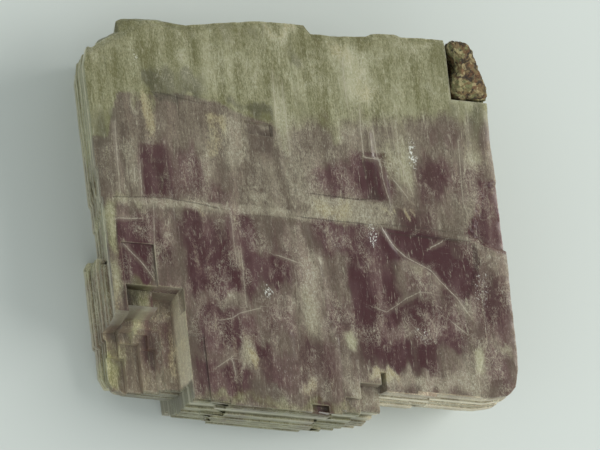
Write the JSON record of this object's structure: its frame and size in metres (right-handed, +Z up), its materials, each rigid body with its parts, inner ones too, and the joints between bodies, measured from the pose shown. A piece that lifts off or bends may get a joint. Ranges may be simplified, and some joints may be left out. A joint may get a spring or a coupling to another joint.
{
  "type": "calcite crystal",
  "caption": "Cloudy mauve and olive calcite cleavage block with stepped sides, a stepped face and a knob of host rock on one corner, lying on its back cleavage face.",
  "frame": {"origin": "middle of the bounding box's footprint, on the back cleavage face that the crystal lies on", "axes": "+Z up out of the back cleavage face, +X along the longer side, about along one cleavage edge, towards the side that overhangs, +Y towards the worn far side"},
  "size_m": [0.0902, 0.0842, 0.0345],
  "materials": {
    "calcite": "translucent, cloudy mauve to olive, with pearly cleavage faces, pale cracks and ochre stains",
    "rock": "matt, granular, brown and olive with rust spots"
  },
  "bodies": {
    "root": {"calcite_crystal": "calcite", "host_rock": "rock"}
  },
  "joints": []
}
